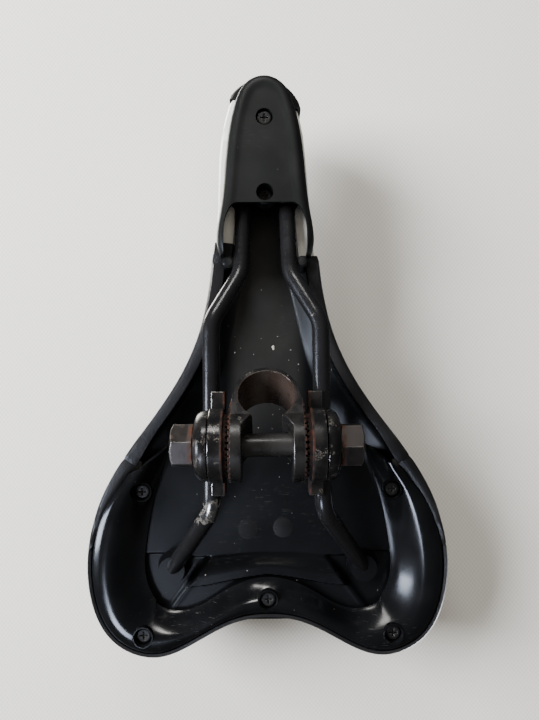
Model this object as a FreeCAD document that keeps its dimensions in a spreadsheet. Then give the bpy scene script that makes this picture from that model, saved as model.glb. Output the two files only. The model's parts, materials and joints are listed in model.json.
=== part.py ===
import FreeCAD, Part
import math
import os
import Sketcher
from FreeCAD import Placement, Rotation, Vector

# Bicycle saddle with rails and a seatpost clamp.  Frame: the origin is on the axis of the
# clamp's seatpost bore at half its length, +Z is up towards the rider, the nose points to -Y.

os.makedirs("parts", exist_ok=True)
doc = FreeCAD.newDocument("bicycle_saddle")

# ---------------------------------------------------------------- driving dimensions
# alias, value (mm or degrees), what it is
DIMENSIONS = [
    ("post_radius", 11.1, "seatpost bore radius, 7/8 inch post"),
    ("post_lean", 37, "lean of the bore axis from the saddle's normal, its top towards the rear"),
    ("bolt_offset", 16.2, "distance between the bore axis and the bolt axis"),
    ("band_ring", 12.8, "outer radius of the clamp band"),
    ("band_outer", 14.4, "half-width over the ears"),
    ("band_half", 11, "half the length of the bore"),
    ("band_front", 16, "how far the blank reaches in front of the bore axis"),
    ("neck_half", 5.2, "half the gap at the neck of the band"),
    ("neck_start", 9, "where the neck opens into the bore"),
    ("flare_end", 16, "where the flare of the neck meets the flat of the ears"),
    ("ear_inner", 9.6, "half the gap between the ears"),
    ("ear_radius", 14, "radius of the ears about the bolt axis"),
    ("ear_front", 10.2, "front limit of the ears' discs, just behind the wall of the bore"),
    ("blank_rear", 32, "how far the blank reaches behind the bore axis"),
    ("stud_radius", 4.5, "clamp stud"),
    ("stud_half", 36.6, "half the length of the stud"),
    ("ear_hole", 4.75, "radius of the stud hole in the ears"),
    ("plate_hole", 4.6, "radius of the stud hole in the rail plates"),
    ("tooth_count", 36, "radial serrations on each face"),
    ("tooth_depth", 0.6, "depth of a serration"),
    ("tooth_half", 0.4, "half the width of a serration"),
    ("tooth_start", 6, "inner radius of the serrated ring"),
    ("tooth_end", 15, "outer radius that a serration is cut to"),
    ("boss_start", 14.7, "serrated boss of an inner plate, tip clearance 0.3 from the ear"),
    ("boss_radius", 12, "radius of that boss"),
    ("plate_start", 16.4, "inner face of an inner rail plate"),
    ("plate_radius", 14.2, "radius of an inner rail plate"),
    ("rail_radius", 3.5, "saddle rail, 7 mm rod"),
    ("groove_radius", 3.56, "groove that the rail slides in"),
    ("rail_half_gauge", 22, "half the distance between the rails"),
    ("rail_lift", 9, "height of the rails above the bolt axis"),
    ("plate_gap", 0.25, "half the gap between the two plates of a side"),
    ("tab_half_height", 4.7, "half the height of a trough tab"),
    ("tab_front", 20.5, "reach of the trough tab in front of the bolt"),
    ("tab_rear", 20, "reach of the trough tab behind the bolt"),
    ("outer_radius", 13.4, "radius of an outer rail plate"),
    ("outer_end", 27.3, "outer face of an outer rail plate"),
    ("outer_round", 3.8, "rounding of the outer plate's rim"),
    ("nut_flats", 7.5, "half the distance across the flats of a nut"),
    ("nut_start", 28.0, "inner face of a nut's hexagon"),
    ("nut_length", 8.3, "length of a nut's hexagon"),
    ("collar_radius", 6.9, "collar under a nut"),
    ("rail_front_x", 8.8, "half the distance between the rails at their front ends"),
    ("rail_front_y", -98, "front end of the rails"),
    ("rail_front_z", 16.5, "height of the rails at their front ends"),
    ("rail_knee_x", 10.2, "rails where they start to spread"),
    ("rail_knee_y", -54, "rails where they start to spread"),
    ("rail_knee_z", 11.5, "height where they start to spread"),
    ("rail_spread_y", -32.5, "front corner of the parallel stretch"),
    ("rail_kick_y", 42.5, "rear corner of the parallel stretch"),
    ("rail_rear_x", 41.5, "half the distance between the rear ends"),
    ("rail_rear_y", 72.5, "rear ends of the rails"),
    ("rail_rear_z", 27, "height of the rear ends"),
    ("rail_bend", 14, "bend radius at the rod's centre line"),
    ("cover_wall", 1.6, "thickness of the cover"),
    ("hem_width", 3.2, "width of the hem turned under the base"),
    ("hem_drop", 1.6, "thickness of that hem"),
    ("shell_floor", 30.2, "underside of the base shell's floor"),
    ("shell_wall", 3, "thickness of the base shell"),
    ("trim_top", 30, "upper edge of the wing trim"),
    ("trim_wall", 0.15, "gap between the trim and the cover around it"),
    ("trim_front", 24, "front ends of the wing trim"),
    ("cover_wall_flange", 4.6, "inner face of the base shell's flange, from the outline"),
    ("nose_end", -127, "rear edge of the nose bumper"),
    ("panel_end_left", -68, "rear end of the left light side panel"),
    ("panel_end_right", -62, "rear end of the right light side panel"),
    ("seam_front", 33, "height of the side seam at the nose"),
    ("seam_rear", 31, "height of the side seam at the wings"),
    ("cup_wall", 2.4, "wall of the nose undercover"),
    ("cup_open", -83, "rear edge of the undercover between its two legs"),
    ("cup_mouth", 15.5, "half the distance between the legs of the undercover"),
    ("nose_screw_pitch", 31.4, "distance between the two nose screws"),
    ("nose_screw_front", -117.4, "front nose screw"),
    ("screw_head", 3.2, "head radius of the screws"),
    ("screw_shank", 1.5, "shank radius of the screws"),
    ("trim_screw_front_x", 54.5, "front trim screws"),
    ("trim_screw_front_y", 39, "front trim screws"),
    ("trim_screw_rear_x", 53, "rear trim screws"),
    ("trim_screw_rear_y", 99, "rear trim screws"),
    ("trim_screw_mid_y", 84.5, "middle trim screw"),
    ("trim_seat_front", 28, "seat of the front trim screws' heads"),
    ("trim_seat_rear", 24.2, "seat of the other trim screws' heads"),
    ("trim_screw_tip", 35.5, "tips of the trim screws"),
]

sheet = doc.addObject("Spreadsheet::Sheet", "sheet")
for row, (alias, value, meaning) in enumerate(DIMENSIONS, start=1):
    sheet.set("A%d" % row, alias)
    sheet.set("B%d" % row, str(value))
    sheet.set("C%d" % row, meaning)
    sheet.setAlias("B%d" % row, alias)
doc.recompute()


def size(term):
    """The number of a term: a number, an alias, or an alias with a minus sign."""
    if isinstance(term, str):
        if term.startswith("-"):
            return -size(term[1:])
        return float(sheet.get(term))
    return float(term)


def formula(term):
    """The same term as an expression on the sheet."""
    if isinstance(term, str):
        if term.startswith("-"):
            return "-sheet." + term[1:]
        return "sheet." + term
    return str(term)


LEAN = math.radians(size("post_lean"))
BOLT = Vector(0, size("bolt_offset") * math.cos(LEAN), -size("bolt_offset") * math.sin(LEAN))
BOLT_Y = "sheet.bolt_offset * cos(sheet.post_lean * 1 deg)"
BOLT_Z = "-sheet.bolt_offset * sin(sheet.post_lean * 1 deg)"
BIG = 400.0
# The saddle is drawn about a datum of its own, in which the bolt axis lies here.
BOLT_IN_SADDLE = Vector(0, 16, -5.8)
SADDLE_PLACE = Placement(BOLT - BOLT_IN_SADDLE, Rotation())


# ---------------------------------------------------------------- PartDesign helpers
def new_body(name):
    body = doc.addObject("PartDesign::Body", name)
    body.Label = name
    return body


def new_sketch(body, name, role, offset=None):
    """A sketch on one of the body's own origin planes, moved along its normal if asked."""
    sketch = body.newObject("Sketcher::SketchObject", name)
    plane = [item for item in body.Origin.OriginFeatures if item.Role == role][0]
    sketch.AttachmentSupport = [(plane, "")]
    sketch.MapMode = "FlatFace"
    if offset is not None:
        sketch.AttachmentOffset = Placement(Vector(0, 0, size(offset)), Rotation())
        sketch.setExpression("AttachmentOffset.Base.z", formula(offset))
    return sketch


def drive(sketch, kind, geometry, point, term):
    """Pin one coordinate or radius of a sketch to the sheet."""
    if kind == "Radius":
        index = sketch.addConstraint(Sketcher.Constraint(kind, geometry, size(term)))
    else:
        index = sketch.addConstraint(Sketcher.Constraint(kind, -1, 1, geometry, point, size(term)))
    if isinstance(term, str):
        sketch.setExpression("Constraints[%d]" % index, formula(term))


def add_circle(sketch, x, y, radius):
    centre = Vector(size(x), size(y), 0)
    index = sketch.addGeometry(Part.Circle(centre, Vector(0, 0, 1), size(radius)), False)
    drive(sketch, "DistanceX", index, 3, x)
    drive(sketch, "DistanceY", index, 3, y)
    drive(sketch, "Radius", index, 0, radius)


def add_polygon(sketch, points):
    """A closed polygon whose corners are pairs of terms."""
    corners = [Vector(size(x), size(y), 0) for x, y in points]
    count = len(corners)
    first = sketch.GeometryCount
    for index in range(count):
        line = Part.LineSegment(corners[index], corners[(index + 1) % count])
        sketch.addGeometry(line, False)
    for index in range(count):
        following = first + (index + 1) % count
        sketch.addConstraint(Sketcher.Constraint("Coincident", first + index, 2, following, 1))
    for index, (x, y) in enumerate(points):
        drive(sketch, "DistanceX", first + index, 1, x)
        drive(sketch, "DistanceY", first + index, 1, y)


def add_pad(body, name, sketch, length, midplane=False, reverse=False):
    pad = body.newObject("PartDesign::Pad", name)
    pad.Profile = sketch
    pad.Length = length if not isinstance(length, str) else 1
    if isinstance(length, str):
        pad.setExpression("Length", length)
    pad.Midplane = midplane
    pad.Reversed = reverse
    sketch.Visibility = False
    return pad


def add_pocket(body, name, sketch, length=None, reverse=False):
    """A pocket, through everything both ways unless it has a length; it has to remove metal."""
    doc.recompute()
    before = body.Shape.Volume
    pocket = body.newObject("PartDesign::Pocket", name)
    pocket.Profile = sketch
    if length is None:
        pocket.Type = "Length"
        pocket.Length = BIG
        pocket.Midplane = True
    else:
        pocket.Type = "Length"
        pocket.setExpression("Length", length)
        pocket.Reversed = reverse
    doc.recompute()
    if body.Shape.Volume >= before - 1e-6:
        raise RuntimeError("pocket %s of %s cuts nothing" % (name, body.Label))
    return pocket


def add_serrations(body, name, face, outward):
    """A ring of radial grooves about the body's X axis, cut into the flat at that height."""
    sketch = new_sketch(body, name + "_sketch", "YZ_Plane", face)
    add_polygon(sketch, [("tooth_start", "-tooth_half"), ("tooth_end", "-tooth_half"),
                         ("tooth_end", "tooth_half"), ("tooth_start", "tooth_half")])
    pocket = add_pocket(body, name, sketch, "sheet.tooth_depth", reverse=not outward)
    ring = body.newObject("PartDesign::PolarPattern", name + "_ring")
    ring.Originals = [pocket]
    ring.Axis = (sketch, ["N_Axis"])
    ring.Angle = 360
    ring.setExpression("Occurrences", "sheet.tooth_count")
    body.Tip = ring
    doc.recompute()


def put_on_bolt(item):
    """Place an object with its own origin on the middle of the bolt axis."""
    item.setExpression("Placement.Base.y", BOLT_Y)
    item.setExpression("Placement.Base.z", BOLT_Z)


# ---------------------------------------------------------------- seatpost clamp
def make_clamp_band():
    """Omega-shaped band: bore, neck, and two ears that the stud squeezes together."""
    body = new_body("clamp_band_blank")
    outline = new_sketch(body, "band_outline", "XY_Plane")
    add_polygon(outline, [("-band_outer", "-band_front"), ("band_outer", "-band_front"),
                          ("band_outer", "blank_rear"), ("-band_outer", "blank_rear")])
    add_pad(body, "band_blank", outline, "2 * sheet.ear_radius", midplane=True)
    bore = new_sketch(body, "band_bore", "XY_Plane")
    add_circle(bore, 0, 0, "post_radius")
    add_pocket(body, "band_bore_cut", bore)
    neck = new_sketch(body, "band_neck", "XY_Plane")
    add_polygon(neck, [("-neck_half", "neck_start"), ("neck_half", "neck_start"),
                       ("ear_inner", "flare_end"), ("ear_inner", 40),
                       ("-ear_inner", 40), ("-ear_inner", "flare_end")])
    add_pocket(body, "band_neck_cut", neck)
    hole = new_sketch(body, "ear_hole_sketch", "YZ_Plane")
    add_circle(hole, "bolt_offset", 0, "ear_hole")
    add_pocket(body, "ear_hole_cut", hole)
    body.Placement = Placement(Vector(), Rotation(Vector(-1, 0, 0), size("post_lean")))
    body.setExpression("Placement.Rotation.Angle", "sheet.post_lean")
    doc.recompute()
    # The blank is trimmed to the round of the band and to the discs of the ears.
    low = -size("band_half")
    ring = Part.makeCylinder(size("band_ring"), 2 * size("band_half"), Vector(0, 0, low))
    slim, wide, reach = size("band_ring"), size("band_outer"), size("bolt_offset")
    bridge = Part.makePolygon([Vector(x, y, low) for x, y in (
        (-slim, -1), (slim, -1), (wide, 6), (wide, reach), (-wide, reach), (-wide, 6), (-slim, -1))])
    bridge = Part.Face(bridge).extrude(Vector(0, 0, 2 * size("band_half")))
    discs = Part.makeCylinder(size("ear_radius"), BIG, Vector(-BIG / 2, reach, 0), Vector(1, 0, 0))
    behind = Part.makeBox(BIG, BIG, BIG, Vector(-BIG / 2, size("ear_front"), -BIG / 2))
    limit = ring.fuse([bridge, discs.common(behind)])
    limit.rotate(Vector(), Vector(-1, 0, 0), size("post_lean"))
    shape = body.Shape.common(limit)
    teeth = []
    for number in range(int(size("tooth_count"))):
        for side in (-1, 1):
            tooth = Part.makeBox(2 * size("tooth_depth"), size("tooth_end") - size("tooth_start"),
                                 2 * size("tooth_half"),
                                 Vector(-size("tooth_depth"), size("tooth_start"), -size("tooth_half")))
            tooth.rotate(Vector(), Vector(1, 0, 0), 360.0 * number / size("tooth_count"))
            tooth.translate(BOLT + Vector(side * size("band_outer"), 0, 0))
            teeth.append(tooth)
    finished = doc.addObject("Part::Feature", "clamp_band_finished")
    finished.Shape = shape.cut(Part.makeCompound(teeth))
    finished.Label = "clamp_band"
    return finished


def make_inner_plate(name, side):
    """Disc plate with a serrated boss towards the ear and a trough for the rail."""
    body = new_body(name)
    sign = "" if side > 0 else "-"
    disc = new_sketch(body, name + "_disc", "YZ_Plane", sign + "plate_start")
    add_circle(disc, 0, 0, "plate_radius")
    thickness = "sheet.rail_half_gauge - sheet.plate_gap - sheet.plate_start"
    add_pad(body, name + "_pad", disc, thickness, reverse=side < 0)
    tab = new_sketch(body, name + "_tab", "YZ_Plane", sign + "plate_start")
    low = size("rail_lift") - size("tab_half_height")
    high = size("rail_lift") + size("tab_half_height")
    add_polygon(tab, [("-tab_front", low), ("tab_rear", low), ("tab_rear", high), ("-tab_front", high)])
    add_pad(body, name + "_tab_pad", tab, thickness, reverse=side < 0)
    boss = new_sketch(body, name + "_boss", "YZ_Plane", sign + "boss_start")
    add_circle(boss, 0, 0, "boss_radius")
    add_pad(body, name + "_boss_pad", boss, "sheet.plate_start - sheet.boss_start + 0.5",
            reverse=side < 0)
    groove = new_sketch(body, name + "_groove", "XZ_Plane")
    add_circle(groove, sign + "rail_half_gauge", "rail_lift", "groove_radius")
    add_pocket(body, name + "_groove_cut", groove)
    hole = new_sketch(body, name + "_hole", "YZ_Plane")
    add_circle(hole, 0, 0, "plate_hole")
    add_pocket(body, name + "_hole_cut", hole)
    add_serrations(body, name + "_teeth", sign + "boss_start", outward=side < 0)
    put_on_bolt(body)
    return body


def make_outer_plate(name, side):
    """Domed disc that closes over the rail from outside."""
    body = new_body(name)
    sign = "" if side > 0 else "-"
    disc = new_sketch(body, name + "_disc", "YZ_Plane", sign + "rail_half_gauge")
    add_circle(disc, 0, 0, "outer_radius")
    pad = add_pad(body, name + "_pad", disc, "sheet.outer_end - sheet.rail_half_gauge", reverse=side < 0)
    doc.recompute()
    faces = enumerate(pad.Shape.Edges, start=1)
    rims = [number for number, edge in faces
            if abs(edge.BoundBox.XMin - side * size("outer_end")) < 0.01 and edge.BoundBox.XLength < 0.01]
    fillet = body.newObject("PartDesign::Fillet", name + "_dome")
    fillet.Base = (pad, ["Edge%d" % number for number in rims])
    fillet.setExpression("Radius", "sheet.outer_round")
    body.Tip = fillet
    gap = new_sketch(body, name + "_gap", "YZ_Plane", sign + "rail_half_gauge")
    add_circle(gap, 0, 0, 20)
    add_pocket(body, name + "_gap_cut", gap, "sheet.plate_gap", reverse=side > 0)
    groove = new_sketch(body, name + "_groove", "XZ_Plane")
    add_circle(groove, sign + "rail_half_gauge", "rail_lift", "groove_radius")
    add_pocket(body, name + "_groove_cut", groove)
    hole = new_sketch(body, name + "_hole", "YZ_Plane")
    add_circle(hole, 0, 0, "plate_hole")
    add_pocket(body, name + "_hole_cut", hole)
    put_on_bolt(body)
    return body


def make_stud():
    """Through stud with a thread at both ends."""
    stud = doc.addObject("Part::Cylinder", "clamp_stud")
    stud.setExpression("Radius", "sheet.stud_radius")
    stud.setExpression("Height", "2 * sheet.stud_half")
    stud.Placement = Placement(Vector(), Rotation(Vector(0, 1, 0), 90))
    stud.setExpression("Placement.Base.x", "-sheet.stud_half")
    put_on_bolt(stud)
    return stud


def make_nut(name, side, turn):
    """Hexagon nut, chamfered on its outer end, with a round collar against the plate."""
    prism = doc.addObject("Part::Prism", name + "_hexagon")
    prism.Polygon = 6
    prism.setExpression("Circumradius", "sheet.nut_flats / cos(30 deg)")
    prism.setExpression("Height", "sheet.nut_length")
    prism.Placement = Placement(Vector(), Rotation(Vector(0, 0, 1), turn))
    cone = doc.addObject("Part::Cone", name + "_chamfer")
    cone.setExpression("Radius1", "sheet.nut_flats + 1.6 * sheet.nut_length")
    cone.setExpression("Radius2", "sheet.nut_flats - 0.4")
    cone.setExpression("Height", "sheet.nut_length")
    body = doc.addObject("Part::Common", name + "_body")
    body.Base = prism
    body.Tool = cone
    collar = doc.addObject("Part::Cylinder", name + "_collar")
    collar.setExpression("Radius", "sheet.collar_radius")
    collar.setExpression("Height", "sheet.nut_start - sheet.outer_end")
    collar.setExpression("Placement.Base.z", "sheet.outer_end - sheet.nut_start")
    whole = doc.addObject("Part::Fuse", name + "_whole")
    whole.Base = body
    whole.Tool = collar
    bore = doc.addObject("Part::Cylinder", name + "_bore")
    bore.setExpression("Radius", "sheet.stud_radius")
    bore.Height = 40
    bore.Placement = Placement(Vector(0, 0, -20), Rotation())
    nut = doc.addObject("Part::Cut", name)
    nut.Label = name
    nut.Base = whole
    nut.Tool = bore
    nut.Placement = Placement(Vector(side * size("nut_start"), 0, 0), Rotation(Vector(0, 1, 0), side * 90))
    put_on_bolt(nut)
    return nut


def add_shape(name, shape):
    """A sub-part of the saddle, drawn about the saddle's datum and then put in place."""
    item = doc.addObject("Part::Feature", name)
    item.Shape = shape
    item.Placement = SADDLE_PLACE


# ---------------------------------------------------------------- rails
def bent_path(corners, radius):
    """Straight runs between the corners, joined by tangent arcs."""
    edges = []
    start = corners[0]
    for index in range(1, len(corners) - 1):
        corner = corners[index]
        before = (corners[index - 1] - corner).normalize()
        after = (corners[index + 1] - corner).normalize()
        turn = math.pi - before.getAngle(after)
        reach = radius * math.tan(turn / 2)
        bisector = (before + after).normalize()
        middle = corner + bisector * (radius / math.cos(turn / 2) - radius)
        edges.append(Part.LineSegment(start, corner + before * reach).toShape())
        edges.append(Part.Arc(corner + before * reach, middle, corner + after * reach).toShape())
        start = corner + after * reach
    edges.append(Part.LineSegment(start, corners[-1]).toShape())
    return Part.Wire(edges)


def rail_corners(side):
    height = BOLT_IN_SADDLE.z + size("rail_lift")
    return [Vector(side * size("rail_front_x"), size("rail_front_y"), size("rail_front_z")),
            Vector(side * size("rail_knee_x"), size("rail_knee_y"), size("rail_knee_z")),
            Vector(side * size("rail_half_gauge"), size("rail_spread_y"), height),
            Vector(side * size("rail_half_gauge"), size("rail_kick_y"), height),
            Vector(side * size("rail_rear_x"), size("rail_rear_y"), size("rail_rear_z"))]


def rail_shape(side, radius):
    corners = rail_corners(side)
    path = bent_path(corners, size("rail_bend"))
    direction = (corners[1] - corners[0]).normalize()
    section = Part.Wire(Part.makeCircle(radius, corners[0], direction))
    return path.makePipeShell([section], True, False)


def make_rail(name, side):
    add_shape(name, rail_shape(side, size("rail_radius")))


# ---------------------------------------------------------------- saddle surfaces
# Half of the plan outline, x and y, from the tip of the nose to the notch at the rear.
OUTLINE = [(0, -141), (10.8, -136), (15.7, -126), (18.6, -106), (21.6, -64), (29.6, -26),
           (50, 8), (68, 34), (76.5, 59.5), (75.6, 84.5), (66.7, 101.4), (48, 108.7),
           (30.3, 102.2), (11.7, 93.7), (0, 92.4)]
# Crown of the top: y, height of the centre line, half-width of the section, drop at its edge.
CROWN = [(-147, 37, 27, 14), (-130, 44, 28, 14), (-92, 48, 30, 13), (-50, 47, 34, 13),
         (-10, 47, 48, 17), (30, 51, 75, 24), (65, 58, 84, 27), (94, 60, 84, 27), (116, 48, 84, 24)]
# Lower edge of the sides: y and height.
RIM = [(-170, 20), (-128, 17), (-72, 16.4), (-20, 18), (22, 21), (60, 21.5), (130, 22)]


def mirrored(points):
    """A closed run of points from half of it, which starts and ends on the mid-plane."""
    left = [(-x, y) for x, y in reversed(points[1:-1])]
    return points + left


def smooth_wire(points, height):
    curve = Part.BSplineCurve()
    curve.interpolate([Vector(x, y, height) for x, y in mirrored(points)], PeriodicFlag=True)
    return Part.Wire(curve.toShape())


def inset(points, distance):
    """The half outline moved inwards, square to the smooth curve through it."""
    curve = Part.BSplineCurve()
    whole = mirrored(points)
    curve.interpolate([Vector(x, y, 0) for x, y in whole], PeriodicFlag=True)
    moved = []
    for x, y in points:
        tangent = curve.tangent(curve.parameter(Vector(x, y, 0)))[0]
        inward = Vector(-tangent.y, tangent.x, 0)
        moved.append((max(0.0, x + distance * inward.x), y + distance * inward.y))
    return moved


def prism(points, low, high):
    return Part.Face(smooth_wire(points, low)).extrude(Vector(0, 0, high - low))


def crown_solid(drop):
    """Everything below the top surface, lowered by a thickness."""
    sections = []
    for y, top, half, fall in CROWN:
        edge = Vector(half, y, top - fall - drop)
        other = Vector(-half, y, top - fall - drop)
        floor = Vector(half, y, -60)
        other_floor = Vector(-half, y, -60)
        crown = Part.Arc(other, Vector(0, y, top - drop), edge).toShape()
        sides = [Part.LineSegment(edge, floor).toShape(),
                 Part.LineSegment(floor, other_floor).toShape(),
                 Part.LineSegment(other_floor, other).toShape()]
        sections.append(Part.Wire([crown] + sides))
    return Part.makeLoft(sections, True, False)


def side_profile(points, ceiling):
    """A slab across the whole width, above a line given in the side view."""
    corners = [Vector(-BIG / 2, y, z) for y, z in points]
    corners.append(Vector(-BIG / 2, points[-1][0], ceiling))
    corners.append(Vector(-BIG / 2, points[0][0], ceiling))
    corners.append(corners[0])
    return Part.Face(Part.makePolygon(corners)).extrude(Vector(BIG, 0, 0))


def box(low, high):
    return Part.makeBox(high[0] - low[0], high[1] - low[1], high[2] - low[2], Vector(*low))


def raised(points, amount):
    return [(y, z + amount) for y, z in points]


WALL = size("cover_wall")
FLOOR = size("shell_floor")
OUTER_PRISM = prism(OUTLINE, -60, 100)
INNER_PRISM = prism(inset(OUTLINE, WALL), -60, 100)
INNER_TOP = crown_solid(WALL)
ABOVE_RIM = side_profile(RIM, 100)
ABOVE_HEM = side_profile(raised(RIM, size("hem_drop")), 100)
SEAM = [(-170, size("seam_front")), (-60, size("seam_front")),
        (40, size("seam_rear")), (130, size("seam_rear"))]
ABOVE_SEAM = side_profile(SEAM, 100)


def cover_shell():
    """The whole stretched cover as one skin; it is cut into its panels afterwards."""
    outside = OUTER_PRISM.common(crown_solid(0)).common(ABOVE_RIM)
    hollow = INNER_PRISM.common(INNER_TOP)
    front = hollow.common(ABOVE_HEM)
    opening = prism(inset(OUTLINE, WALL + size("hem_width")), -60, 30)
    opening = opening.common(box((-90, -170, -60), (90, size("trim_front"), 30)))
    rear = hollow.common(box((-90, size("trim_front"), -60), (90, 130, 100)))
    return outside.cut(front).cut(opening).cut(rear)


def make_cover_panels():
    """Top cover, nose bumper, light side panels and dark side skirts."""
    skin = cover_shell()
    nose = box((-90, -170, -60), (90, size("nose_end"), 100))
    below = box((-90, size("nose_end"), -60), (90, size("trim_front"), 100)).cut(ABOVE_SEAM)
    right = box((0, -170, -60), (90, 130, 100))
    front = right.common(box((-90, -170, -60), (90, size("panel_end_right"), 100)))
    front = front.fuse(box((-90, -170, -60), (0, size("panel_end_left"), 100)))
    sides = skin.common(below)
    panels = sides.common(front)
    skirts = sides.cut(front)
    add_shape("nose_bumper", skin.common(nose))
    add_shape("side_panel_right", panels.common(right))
    add_shape("side_panel_left", panels.cut(right))
    add_shape("side_skirt_right", skirts.common(right))
    add_shape("side_skirt_left", skirts.cut(right))
    add_shape("cover_top", skin.cut(nose).cut(below))


# ---------------------------------------------------------------- underside
# Inner lip of the wing trim, x and y, from its front end round to the mid-plane.
TRIM_LIP = [(45, 24), (48.5, 38), (53, 60), (52.5, 80), (44, 90), (33, 90.5), (20, 83), (0, 76)]


def trim_opening(grow, height):
    """Outline of the space inside the trim, open to the front, grown outwards."""
    half = [Vector(x + grow, y + grow * 0.9, height) for x, y in TRIM_LIP[:-1]]
    middle = Vector(0, TRIM_LIP[-1][1] + grow * 0.7, height)
    other = [Vector(-point.x, point.y, height) for point in reversed(half)]
    curve = Part.BSplineCurve()
    curve.interpolate(half + [middle] + other)
    front = -40
    corners = [other[-1], Vector(-46 - grow, front, height), Vector(46 + grow, front, height), half[0]]
    lines = [Part.LineSegment(corners[0], corners[1]).toShape(),
             Part.LineSegment(corners[1], corners[2]).toShape(),
             Part.LineSegment(corners[2], corners[3]).toShape()]
    return Part.Wire([curve.toShape()] + lines)


def screw_places():
    """x, y and seat height of the five trim screws."""
    front = (size("trim_screw_front_x"), size("trim_screw_front_y"), size("trim_seat_front"))
    rear = (size("trim_screw_rear_x"), size("trim_screw_rear_y"), size("trim_seat_rear"))
    both = [(side * x, y, seat) for x, y, seat in (front, rear) for side in (-1, 1)]
    return both + [(0, size("trim_screw_mid_y"), size("trim_seat_rear"))]


def screw_shape(x, y, seat, length):
    """Pan-head screw from below: head under its seat, shank above it, crossed slots."""
    head = Part.makeCylinder(size("screw_head"), 2.2, Vector(x, y, seat - 2.2))
    head = head.makeFillet(0.9, [edge for edge in head.Edges if abs(edge.BoundBox.ZMax - seat + 2.2) < 0.01
                                 and edge.BoundBox.ZLength < 0.01])
    shank = Part.makeCylinder(size("screw_shank"), length, Vector(x, y, seat))
    slots = [Part.makeBox(3.4, 0.8, 1.2, Vector(x - 1.7, y - 0.4, seat - 2.3)),
             Part.makeBox(0.8, 3.4, 1.2, Vector(x - 0.4, y - 1.7, seat - 2.3))]
    return head.fuse(shank).cut(slots[0].fuse(slots[1]))


def make_wing_trim():
    """Horseshoe moulding around the wings: rolled outer edge, bowl sloping up to its lip."""
    gap = WALL + size("trim_wall")
    low = 20.6
    top = size("trim_top")
    ring = prism(inset(OUTLINE, gap), low, top)
    front = size("trim_front")
    ring = ring.common(box((-90, front + 0.2, 0), (90, 130, 60)))
    lip = trim_opening(0, top + 1)
    mouth = trim_opening(15, low - 1)
    bowl = Part.makeLoft([lip, mouth], True, True)
    ring = ring.cut(bowl)
    for x, y, seat in screw_places():
        ring = ring.cut(Part.makeCylinder(size("screw_head") + 0.5, 20, Vector(x, y, seat - 20)))
        ring = ring.cut(Part.makeCylinder(size("screw_shank") + 0.3, 20, Vector(x, y, seat)))
    add_shape("wing_trim", ring)
    tip = size("trim_screw_tip")
    screws = [screw_shape(x, y, seat, tip - seat) for x, y, seat in screw_places()]
    add_shape("trim_screws", Part.makeCompound(screws))


def make_base_shell():
    """Moulded base: floor under the foam, flange down the flanks, screw bosses."""
    inside = INNER_PRISM.common(INNER_TOP)
    tray = inside.common(box((-90, -170, -60), (90, 130, FLOOR + size("shell_wall"))))
    tray = tray.common(ABOVE_HEM)
    hollow = prism(inset(OUTLINE, size("cover_wall_flange")), -60, FLOOR)
    hollow = hollow.fuse(box((-90, size("trim_front"), -60), (90, 130, FLOOR)))
    tray = tray.cut(hollow)
    for x, y, seat in screw_places():
        tray = tray.cut(Part.makeCylinder(size("screw_shank"), 30, Vector(x, y, seat)))
    for y, seat in nose_screw_places():
        boss = Part.makeCylinder(3.6, FLOOR + 1 - seat - 2.2, Vector(0, y, seat + 2.2))
        tray = tray.fuse(boss)
        tray = tray.cut(Part.makeCylinder(size("screw_shank"), 14, Vector(0, y, seat)))
    add_shape("base_shell", tray.removeSplitter())


def make_foam():
    inside = INNER_PRISM.common(INNER_TOP)
    pad = inside.common(box((-90, -170, FLOOR + size("shell_wall")), (90, 130, 100)))
    tip = size("trim_screw_tip") + 0.3
    for x, y, seat in screw_places():
        pad = pad.cut(Part.makeCylinder(size("screw_shank") + 0.3, tip - FLOOR, Vector(x, y, FLOOR)))
    add_shape("foam_pad", pad)


# Half outline of the nose undercover at its upper edge, x and y.
CUP = [(0, -136.8), (8.6, -133), (13.3, -123), (15.8, -104.6), (18.2, -80), (18.6, -62), (12, -54), (0, -53)]
CUP_SEAT = 8.4
CUP_SEAT_REAR = 12.6


def nose_screw_places():
    """y and seat height of the two nose screws; the rear one sits deep in its hole."""
    front = size("nose_screw_front")
    return [(front, CUP_SEAT), (front + size("nose_screw_pitch"), CUP_SEAT_REAR)]


def make_undercover():
    """Boat-shaped nose undercover with two legs around the rails."""
    levels = [(4.6, 4.6), (6.2, 2.0), (9.5, 0.7), (16.0, 0.0)]
    shell = Part.makeLoft([smooth_wire(inset(CUP, move), z) for z, move in levels], True, False)
    wall = size("cup_wall")
    inner = [(4.6 + wall, 4.6 + wall), (9.5, 0.7 + wall), (17.0, wall)]
    hollow = Part.makeLoft([smooth_wire(inset(CUP, move), z) for z, move in inner], True, False)
    cup = shell.cut(hollow)
    opening = size("cup_open")
    half = size("cup_mouth")
    mouth = Part.makeCylinder(half, 40, Vector(0, opening + half, -10))
    mouth = mouth.fuse(box((-half, opening + half, -10), (half, -40, 30)))
    square = box((-10.8, opening, -10), (10.8, opening + 20, 30))
    cup = cup.cut(mouth.fuse(square))
    cup = cup.cut(box((-30, -61, -10), (30, -40, 30)))
    for y, seat in nose_screw_places():
        cup = cup.fuse(Part.makeCylinder(4.6, seat + 2 - 4.7, Vector(0, y, 4.7)))
        cup = cup.cut(Part.makeCylinder(size("screw_head") + 0.3, 20, Vector(0, y, seat - 20)))
        cup = cup.cut(Part.makeCylinder(size("screw_shank") + 0.3, 20, Vector(0, y, seat)))
    solids = sorted(cup.Solids, key=lambda solid: solid.Volume)
    add_shape("nose_undercover", solids[-1])
    screws = [screw_shape(0, y, seat, 13) for y, seat in nose_screw_places()]
    add_shape("nose_screws", Part.makeCompound(screws))


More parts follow.
